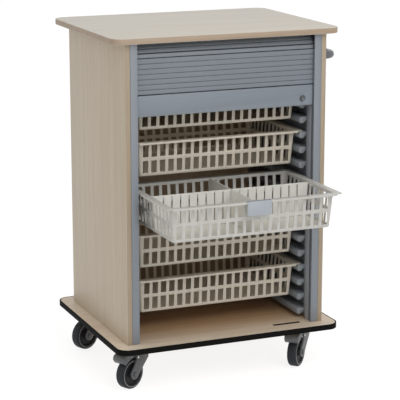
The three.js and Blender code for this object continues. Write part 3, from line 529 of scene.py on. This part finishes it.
arc_count = round(math.pi / 2 * bend_radius / slat_pitch)
for i in range(arc_count):
    angle = (i + 0.5) * math.pi / 2 / arc_count
    rise = bend_base + bend_radius * math.sin(angle)
    inward = bend_radius * (1 - math.cos(angle))
    store_slat(front_y + inward, rise, -angle, BEND_SLAT_SHARE)
    store_slat(rear_y - inward, rise, -math.pi + angle, BEND_SLAT_SHARE)
run_start = front_y + bend_radius
run_end = rear_y - bend_radius
run_count = int((run_end - run_start) / slat_pitch)
run_pitch = (run_end - run_start) / run_count
for i in range(run_count):
    store_slat(run_start + (i + 0.5) * run_pitch, bend_base + bend_radius, -math.pi / 2)
drop_count = int((bend_base - curtain_low.z) / slat_pitch)
for i in range(drop_count):
    store_slat(rear_y, bend_base - (i + 0.5) * slat_pitch, math.pi)
stored_curtain = joined_pieces(stored, "stored_curtain")
dress(stored_curtain, "cabinet", "slat", slat_grey)
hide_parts("rear_curtain")

# Follower slats: the part of the plastic curtain that comes down out of the guides as the shutter is lowered.
# At rest they lie pressed together inside the top slat. Their heights undo the blend's smooth curve, so that
# they spread evenly.
FOLLOWER_INSET = 0.0005
FOLLOWER_SINK = 0.0006
PRESSED = 0.003
slide = next(j for j in frame["joints"] if j["name"] == "shutter_slide")
reach = PRESSED - slide["range_m"][0]
follower_model = new_slat("follower_model", along_front, FOLLOWER_INSET)
follower_count = round(reach / slat_pitch)
followers = []
for i in range(follower_count):
    middle = Vector((slat_middle.x, front_y, bend_base - (i + 0.5) * reach / follower_count))
    followers.append(placed_copy(follower_model, "follower_slat", Matrix.Translation(middle)))
follower_slats = joined_pieces(followers, "follower_slats")
follower_top = bend_base - FOLLOWER_SINK
for vertex in follower_slats.data.vertices:
    share = min(max((bend_base - vertex.co.z) / reach, 0), 1)
    eased = 0.5 - math.sin(math.asin(1 - 2 * share) / 3)
    vertex.co.z = follower_top - PRESSED * eased
follower_slats.data.materials.append(slat_grey)
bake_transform(follower_slats)
for model in (slat_model, follower_model):
    bpy.data.objects.remove(model)

# Bottom rail: a deeper extruded aluminium section with the same satin coat, hooked under the lowest slat.
# It stiffens the shutter, is gripped by its lower edge and carries the lock.
RAIL_ROUND = 0.003
rail_grey = satin_metal("rail_satin_grey", (0.192, 0.216, 0.243), rough=0.42, along="X", metal=0.2)
refinish("shutter_rail", "shutter_bottom_rail", RAIL_ROUND, "shutter", "track", rail_grey, steps=3)

# Lock: a nickel-plated cam lock pressed into the rail, with a dished rosette and a keyway in its dark plug.
# Its flat steel bolt drops into the keeper slot of the base board.
LOCK_SIDES = 48
LOCK_ROUND = 0.0005
ROSETTE_STEPS = ((0.0014, 0.0004), (0.0012, 0.0008))
PLUG_INSET = 0.0024
KEYWAY_SIZE = (0.0022, 0.0012, 0.011)
KEYWAY_ROUND = 0.0009
KEYWAY_SINK = 0.0011
KEYWAY_TURN = -35
BOLT_ROUND = 0.0005
TOUCH = 0.0001
SQUARE = 0.9
plated = satin_metal("nickel_plate", (0.105, 0.12, 0.135), rough=0.36, along="X", metal=0.6)
bolt_steel = satin_metal("bolt_steel", (0.25, 0.26, 0.27), rough=0.3, along="X", metal=0.7)
plug_dark = plastic_finish("lock_plug_dark", (0.05, 0.052, 0.056), rough=0.35)
lock_low, lock_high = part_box("lock_cylinder")
lock_middle = (lock_low + lock_high) / 2
lock_radius = (lock_high.x - lock_low.x) / 2
lock_depth = lock_high.y - lock_low.y


def select_faces(piece, wanted):
    bpy.ops.object.mode_set(mode="EDIT")
    bpy.ops.mesh.select_mode(type="FACE")
    bpy.ops.mesh.select_all(action="DESELECT")
    bpy.ops.object.mode_set(mode="OBJECT")
    for face in piece.data.polygons:
        face.select = wanted(face)
    bpy.ops.object.mode_set(mode="EDIT")


def new_disc(name, radius, depth, sides):
    bpy.ops.object.select_all(action="DESELECT")
    bpy.ops.mesh.primitive_cylinder_add(vertices=sides, radius=radius, depth=depth)
    disc = bpy.context.active_object
    disc.name = name
    return disc


def on_plug(face):
    spread = max((lock.data.vertices[i].co - lock_middle).xz.length for i in face.vertices)
    return spread < lock_radius - PLUG_INSET and face.normal.y < -FACING


lock = new_disc("cam_lock", lock_radius, lock_depth, LOCK_SIDES)
select_faces(lock, lambda face: face.normal.z > SQUARE)
for inset, sink in ROSETTE_STEPS:
    bpy.ops.mesh.inset(thickness=inset)
    bpy.ops.transform.translate(value=(0, 0, -sink))
bevel_edges(lock, lambda ends: all(end.z > lock_depth / 2 - TOUCH for end in ends), LOCK_ROUND, steps=2)
settle(lock, Matrix.Translation(lock_middle) @ Matrix.Rotation(math.pi / 2, 4, "X"))
dress(lock, "lock", "steel", plated, plug_dark)
second_finish(lock, on_plug)
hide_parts("lock_cylinder")

keyway = new_block("lock_keyway", KEYWAY_SIZE)
bevel_edges(keyway, lambda ends: abs(ends[0].y - ends[1].y) > KEYWAY_SIZE[1] / 2, KEYWAY_ROUND, steps=3)
keyway_place = Vector((lock_middle.x, lock_low.y + KEYWAY_SINK, lock_middle.z))
settle(keyway, Matrix.Translation(keyway_place) @ Matrix.Rotation(math.radians(KEYWAY_TURN), 4, "Y"))
dress(keyway, "lock", "steel", bolt_steel)
refinish("lock_bolt", "flat_bolt", BOLT_ROUND, "bolt", "steel", bolt_steel)

# Baskets: injection-moulded cream plastic, with two rows of slots in every wall, a flat floor and a flanged
# rim that runs on the rungs. The walls lean out a little, so that empty baskets nest.
BASKET_COUNT = 5
PULLED_BASKET = 3
BASKET_WALL = 0.0028
BASKET_ROUND = 0.0007
BASKET_ROUND_ANGLE = 50
BASKET_SMOOTH = 40
RIM_FLANGE = 0.022
RIM_LIP = 0.0035
LIP_HALF = 0.279
WALL_LEAN = 0.0085
CORNER_ROUND = 0.008
FLOOR_ROUND = 0.004
NEAR = 0.0005
SLOT_PITCH = 0.029
SLOT_WIDTH = 0.0185
SLOT_ROWS = ((0.0105, 0.0505), (0.0625, 0.1035))
SLOT_COLUMNS_ACROSS = 18
SLOT_COLUMNS_BACK = 11
basket_low, basket_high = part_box("basket_1")
basket_tall = basket_high.z - basket_low.z
half_x = (basket_high.x - basket_low.x) / 2 - RIM_FLANGE
half_y = (basket_high.y - basket_low.y) / 2 - RIM_FLANGE


def slot_edges(count):
    middles = [(i - (count - 1) / 2) * SLOT_PITCH for i in range(count)]
    return [(middle - SLOT_WIDTH / 2, middle + SLOT_WIDTH / 2) for middle in middles]


SLOTS = (
    (Vector((1, 0, 0)), slot_edges(SLOT_COLUMNS_ACROSS)),
    (Vector((0, 1, 0)), slot_edges(SLOT_COLUMNS_BACK)),
    (Vector((0, 0, 1)), [(low - basket_tall, high - basket_tall) for low, high in SLOT_ROWS]),
)


def in_slot(face):
    in_column, in_line, in_row = (
        any(low < face.center.dot(axis) < high for low, high in pairs) for axis, pairs in SLOTS)
    through_front = abs(face.normal.y) > SQUARE and in_column
    through_side = abs(face.normal.x) > SQUARE and in_line
    return in_row and (through_front or through_side)


def new_basket():
    bpy.ops.object.select_all(action="DESELECT")
    bpy.ops.mesh.primitive_cube_add(size=2)
    basket = bpy.context.active_object
    basket.name = "basket_model"
    mesh = basket.data
    for vertex in mesh.vertices:
        at_floor = vertex.co.z < 0
        lean = WALL_LEAN if at_floor else 0
        vertex.co.x *= half_x - lean
        vertex.co.y *= half_y - lean
        vertex.co.z = -basket_tall if at_floor else -BASKET_WALL
    select_faces(basket, lambda face: face.normal.z > SQUARE)
    bpy.ops.mesh.delete(type="FACE")
    bevel_edges(basket, lambda ends: abs(ends[0].z - ends[1].z) > basket_tall / 2, CORNER_ROUND, steps=4)
    bevel_edges(basket, lambda ends: all(end.z < NEAR - basket_tall for end in ends), FLOOR_ROUND, steps=2)
    for axis, pairs in SLOTS:
        for pair in pairs:
            for place in pair:
                bpy.ops.mesh.select_all(action="SELECT")
                bpy.ops.mesh.bisect(plane_co=axis * place, plane_no=axis)
    select_faces(basket, in_slot)
    bpy.ops.mesh.delete(type="FACE")
    select_edges(basket, lambda ends: all(end.z > -BASKET_WALL - TOUCH for end in ends))
    lipped = RIM_FLANGE - BASKET_WALL
    bpy.ops.mesh.extrude_edges_move()
    spread = (1 + RIM_FLANGE / half_x, 1 + lipped / half_y, 1)
    bpy.ops.transform.resize(value=spread, center_override=(0, 0, 0))
    lip_line = half_y + lipped - NEAR
    select_edges(basket, lambda ends: all(abs(end.y) > lip_line and abs(end.x) < LIP_HALF for end in ends))
    bpy.ops.mesh.extrude_edges_move(TRANSFORM_OT_translate={"value": (0, 0, -RIM_LIP)})
    bpy.ops.mesh.select_all(action="SELECT")
    bpy.ops.mesh.normals_make_consistent(inside=False)
    bpy.ops.object.mode_set(mode="OBJECT")
    floor_face = min(mesh.polygons, key=lambda face: face.center.z)
    wall = basket.modifiers.new("wall", "SOLIDIFY")
    wall.thickness = BASKET_WALL
    wall.offset = 1 if floor_face.normal.z > 0 else -1
    wall.use_even_offset = True
    bpy.ops.object.modifier_apply(modifier=wall.name)
    round_edges(basket, BASKET_ROUND, steps=2, angle=BASKET_ROUND_ANGLE)
    bpy.ops.object.shade_smooth_by_angle(angle=math.radians(BASKET_SMOOTH))
    # Floor faces take the second finish, a painted-light cream; the rear walls' inner faces take the third, a
    # painted-shade cream.
    for face in mesh.polygons:
        on_floor = face.normal.z > SQUARE and face.center.z < 2 * BASKET_WALL - basket_tall
        on_rear = face.normal.y < -FACING and face.center.y > half_y / 2
        face.material_index = 1 if on_floor else 2 if on_rear else 0
    return basket


def basket_plastic(name, colour, rough=0.4, bump=0.05, milky=0.5):
    return plastic_finish(name, colour, rough, speckle=0.03, bump=bump, scale=600, milky=milky)


cream_set = (
    basket_plastic("basket_cream", (0.565, 0.515, 0.435)),
    # Floors: a paler cream, painted light on the basket floors.
    basket_plastic("basket_floor_painted_light", (0.84, 0.75, 0.62), rough=0.34, bump=0.03),
    # Rear walls' inner faces: a tan cream, painted warm shade from the wood round the baskets.
    basket_plastic("basket_rear_painted_shade", (0.58, 0.48, 0.36)),
)
fresh_cream = basket_plastic("basket_fresh_cream", (0.515, 0.505, 0.477), milky=0.6)
# The pulled basket's floor is a paler cream too: painted light.
fresh_floor_painted_light = basket_plastic("basket_fresh_floor_painted_light", (0.68, 0.66, 0.615), rough=0.34, bump=0.03, milky=0.6)
fresh_set = (fresh_cream, fresh_floor_painted_light, fresh_cream)
basket_model = new_basket()
for number in range(1, BASKET_COUNT + 1):
    low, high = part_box(f"basket_{number}")
    place = Matrix.Translation(((low.x + high.x) / 2, (low.y + high.y) / 2, high.z))
    basket = placed_copy(basket_model, f"lattice_basket_{number}", place)
    dress(basket, f"tray_{number}", "basket", *(fresh_set if number == PULLED_BASKET else cream_set))
    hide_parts(f"basket_{number}")
bpy.data.objects.remove(basket_model)

# Dividers and label holder of the pulled basket: thin plates of the same plastic, slotted into each other,
# and a holder with a blank card, clipped over the rim's front edge.
DIVIDER_ROUND = 0.0004
HOLDER_ROUND = 0.0007
divider_cream = basket_plastic("divider_cream", (0.68, 0.665, 0.62), milky=0.6)
card_white = plastic_finish("label_card", (0.35, 0.373, 0.41), rough=0.22, speckle=0.02, bump=0.02, scale=500)
for node in ("divider_long", "divider_cross"):
    refinish(node, f"cream_{node}", DIVIDER_ROUND, "tray_3", "divider", divider_cream, steps=1)
refinish("label_holder", "card_holder", HOLDER_ROUND, "tray_3", "label", card_white)

# Push handle: a bow of grey plastic-coated tube on two round flanges, each held to the right side panel by
# two screws. The tube is bent cold, so both bends keep its round section.
TUBE_SIDES = 40
TUBE_SMOOTH = 50
BOW_BEND = 0.030
BEND_STEPS = 14
FLANGE_SIDES = 48
FLANGE_ROUND = 0.002
FLANGE_SCREW_OFFSETS = {"upper": 0.0162, "lower": -0.0162}
SCREW_SIDES = 20
SCREW_RADIUS = 0.0024
SCREW_HEAD = 0.0016
SCREW_RECESS = 0.0008
SCREW_ROUND = 0.0005
SCREW_PROUD = 0.0002
handle_grey = plastic_finish("handle_grey", (0.105, 0.11, 0.12), rough=0.28, speckle=0.05, bump=0.04)
screw_zinc = satin_metal("screw_zinc", (0.45, 0.45, 0.44), rough=0.3, along="X", metal=0.9)
sideways = Matrix.Rotation(math.pi / 2, 4, "Y")
bow_low, bow_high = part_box("push_handle")
tube_radius = (bow_high.z - bow_low.z) / 2
tube_z = (bow_low.z + bow_high.z) / 2
bend_x = bow_high.x - tube_radius - BOW_BEND
end_front = bow_low.y + tube_radius
end_rear = bow_high.y - tube_radius


def extrude_tube(*way):
    bpy.ops.mesh.extrude_edges_move(TRANSFORM_OT_translate={"value": way})


def bend_tube(y):
    bpy.ops.mesh.spin(steps=BEND_STEPS, angle=math.pi / 2, center=(bend_x, y, tube_z), axis=(0, 0, -1))


bpy.ops.object.select_all(action="DESELECT")
bpy.ops.mesh.primitive_circle_add(vertices=TUBE_SIDES, radius=tube_radius)
handle = bpy.context.active_object
handle.name = "bow_handle"
handle.data.transform(Matrix.Translation((bow_low.x, end_front, tube_z)) @ sideways)
bpy.ops.object.mode_set(mode="EDIT")
bpy.ops.mesh.select_mode(type="EDGE")
bpy.ops.mesh.select_all(action="SELECT")
extrude_tube(bend_x - bow_low.x, 0, 0)
bend_tube(end_front + BOW_BEND)
extrude_tube(0, end_rear - end_front - 2 * BOW_BEND, 0)
bend_tube(end_rear - BOW_BEND)
extrude_tube(bow_low.x - bend_x, 0, 0)
bpy.ops.mesh.select_all(action="SELECT")
bpy.ops.mesh.remove_doubles(threshold=WELD)
bpy.ops.mesh.fill_holes(sides=0)
bpy.ops.mesh.normals_make_consistent(inside=False)
settle(handle, Matrix.Identity(4), TUBE_SMOOTH)
dress(handle, "cabinet", "handle", handle_grey)
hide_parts("push_handle")

screw_model = new_disc("screw_model", SCREW_RADIUS, SCREW_HEAD, SCREW_SIDES)
select_faces(screw_model, lambda face: face.normal.z > SQUARE)
bpy.ops.mesh.inset(thickness=SCREW_RADIUS / 2)
bpy.ops.mesh.extrude_region_move(TRANSFORM_OT_translate={"value": (0, 0, -SCREW_RECESS)})
bevel_edges(
    screw_model,
    lambda ends: all(end.z > SCREW_HEAD / 2 - TOUCH and end.xy.length > SCREW_RADIUS - NEAR for end in ends),
    SCREW_ROUND, steps=2)
settle(screw_model, Matrix.Identity(4))
for end in ("front", "rear"):
    node = f"handle_flange_{end}"
    low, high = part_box(node)
    middle = (low + high) / 2
    flange = new_disc(f"bow_flange_{end}", (high.z - low.z) / 2, high.x - low.x, FLANGE_SIDES)
    bevel_edges(flange, lambda ends: all(end.z > 0 for end in ends), FLANGE_ROUND, steps=3)
    settle(flange, Matrix.Translation(middle) @ sideways)
    dress(flange, "cabinet", "handle", handle_grey)
    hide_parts(node)
    for word, offset in FLANGE_SCREW_OFFSETS.items():
        place = Matrix.Translation((high.x + SCREW_PROUD, middle.y, middle.z + offset)) @ sideways
        screw = placed_copy(screw_model, f"flange_screw_{end}_{word}", place)
        dress(screw, "cabinet", "steel", screw_zinc)

# Castor heads, forks, pins and foot brakes: forks of grey moulded plastic turn on steel heads screwed under
# the base board. The front two have a hooded brake pedal that pivots on a bright steel pin.
CORNERS = ("front_left", "front_right", "rear_left", "rear_right")
HEAD_ROUND = 0.0012
FORK_ROUND = 0.0018
AXLE_ROUND = 0.0008
PEDAL_ROUND = 0.0026
PIN_ROUND = 0.0009
fork_grey = plastic_finish("fork_grey", (0.098, 0.102, 0.106), rough=0.42, speckle=0.06, bump=0.08)
axle_grey = plastic_finish("axle_cap_grey", (0.085, 0.088, 0.092), rough=0.42, speckle=0.06, bump=0.08)
zinc = satin_metal("zinc_plate", (0.40, 0.40, 0.39), rough=0.32, along="Z", metal=0.85)
pin_bright = satin_metal("pin_bright", (0.75, 0.75, 0.73), rough=0.25, along="Z", metal=0.8)
for corner in CORNERS:
    for node, body, slot, finish, radius in (
        (f"castor_head_{corner}", "cabinet", "steel", zinc, HEAD_ROUND),
        (f"fork_{corner}", f"swivel_{corner}", "fork", fork_grey, FORK_ROUND),
        (f"axle_{corner}", f"swivel_{corner}", "steel", axle_grey, AXLE_ROUND),
        (f"brake_pedal_{corner}", f"pedal_{corner}", "fork", fork_grey, PEDAL_ROUND),
        (f"brake_pin_{corner}", f"swivel_{corner}", "steel", pin_bright, PIN_ROUND),
    ):
        if node in frame["nodes"]:
            refinish(node, f"finished_{node}", radius, body, slot, finish)

# Wheels: a dark moulded core with a dished face and a hub, and a rubber tyre moulded onto it. The tyre has a
# black tread, domed a little, and a worn grey side wall, and it turns with the core on the axle.
WHEEL_SIDES = 72
WHEEL_WIDE = 0.031
WHEEL_ROUND = 0.0008
WHEEL_ROUND_ANGLE = 35
RIM_LIP_WIDE = 0.0042
RIM_DISH = 0.0052
DISH_SLOPE = 0.003
HUB_RADIUS = 0.014
HUB_WIDE = 0.0345
HUB_SLOPE = 0.001
TYRE_WIDE = 0.032
TYRE_ROUND = 0.0062
TYRE_SEAT = 0.0002
TYRE_SMOOTH = 40
core_dark = plastic_finish(
    "wheel_core_dark", (0.012, 0.012, 0.014), rough=0.5, speckle=0.06, bump=0.06, gloss=0.2)
tyre_black = plastic_finish(
    "tyre_rubber", (0.013, 0.016, 0.020), rough=0.6, speckle=0.12, bump=0.14, scale=700, gloss=0.3)
wall_grey = plastic_finish("tyre_wall_grey", (0.19, 0.19, 0.192), rough=0.5, speckle=0.05)
spins = {j["name"]: j for j in frame["joints"] if j["name"].startswith("roller_")}


def new_wheel(name, radius):
    wheel = new_disc(name, radius, WHEEL_WIDE, WHEEL_SIDES)
    select_faces(wheel, lambda face: abs(face.normal.z) > SQUARE)
    for inset, depth in (
        (RIM_LIP_WIDE, 0),
        (DISH_SLOPE, -RIM_DISH),
        (radius - RIM_LIP_WIDE - DISH_SLOPE - HUB_RADIUS, 0),
        (HUB_SLOPE, RIM_DISH + (HUB_WIDE - WHEEL_WIDE) / 2),
    ):
        bpy.ops.mesh.inset(thickness=inset, depth=depth, use_individual=True)
    bpy.ops.object.mode_set(mode="OBJECT")
    round_edges(wheel, WHEEL_ROUND, steps=2, angle=WHEEL_ROUND_ANGLE)
    return wheel


def new_tyre(name, radius, seat):
    tyre = new_disc(name, radius, TYRE_WIDE, WHEEL_SIDES)
    select_faces(tyre, lambda face: abs(face.normal.z) > SQUARE)
    bpy.ops.mesh.inset(thickness=radius - seat, use_individual=True)
    bpy.ops.mesh.delete(type="FACE")
    select_edges(tyre, lambda ends: all(end.xy.length < seat + NEAR for end in ends))
    bpy.ops.mesh.bridge_edge_loops()
    bevel_edges(
        tyre,
        lambda ends: all(end.xy.length > radius - NEAR for end in ends) and ends[0].z * ends[1].z > 0,
        TYRE_ROUND, steps=5)
    bpy.ops.mesh.select_all(action="SELECT")
    bpy.ops.mesh.normals_make_consistent(inside=False)
    bpy.ops.object.mode_set(mode="OBJECT")
    second_finish(
        tyre,
        lambda face: abs(face.normal.z) > SQUARE and face.center.xy.length < radius - TYRE_ROUND)
    return tyre


for corner in CORNERS:
    spin = spins[f"roller_{corner}_spin"]
    upright_to_axle = Vector((0, 0, 1)).rotation_difference(Vector(spin["axis"]))
    turn = Matrix.Translation(spin["pos_m"]) @ upright_to_axle.to_matrix().to_4x4()
    tyre_low, tyre_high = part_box(f"tyre_{corner}")
    wheel_low, wheel_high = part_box(f"wheel_{corner}")
    core_radius = (wheel_high.z - wheel_low.z) / 2
    wheel = new_wheel(f"moulded_wheel_{corner}", core_radius)
    settle(wheel, turn)
    dress(wheel, f"roller_{corner}", "wheel", core_dark)
    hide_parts(f"wheel_{corner}")
    tyre = new_tyre(f"rubber_tyre_{corner}", (tyre_high.z - tyre_low.z) / 2, core_radius + TYRE_SEAT)
    settle(tyre, turn, TYRE_SMOOTH)
    dress(tyre, f"roller_{corner}", "tyre", tyre_black, wall_grey)
    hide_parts(f"tyre_{corner}")

# Back screws: zinc-plated steel screws with a recessed head, driven through the back panel into the side
# panels in two columns. They are seen only from behind.
BACK_SCREW_ROWS = 5
BACK_SCREW_INSET = 0.012
BACK_SCREW_END = 0.06
back_low, back_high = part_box("back_panel")
screw_pitch = (back_high.z - back_low.z - 2 * BACK_SCREW_END) / (BACK_SCREW_ROWS - 1)
backwards = Matrix.Rotation(-math.pi / 2, 4, "X")
for column, x in enumerate((back_low.x + BACK_SCREW_INSET, back_high.x - BACK_SCREW_INSET), 1):
    for row in range(BACK_SCREW_ROWS):
        z = back_low.z + BACK_SCREW_END + row * screw_pitch
        place = Matrix.Translation((x, back_high.y + SCREW_PROUD, z)) @ backwards
        screw = placed_copy(screw_model, f"back_screw_{column}_{row + 1}", place)
        dress(screw, "cabinet", "steel", screw_zinc)
bpy.data.objects.remove(screw_model)
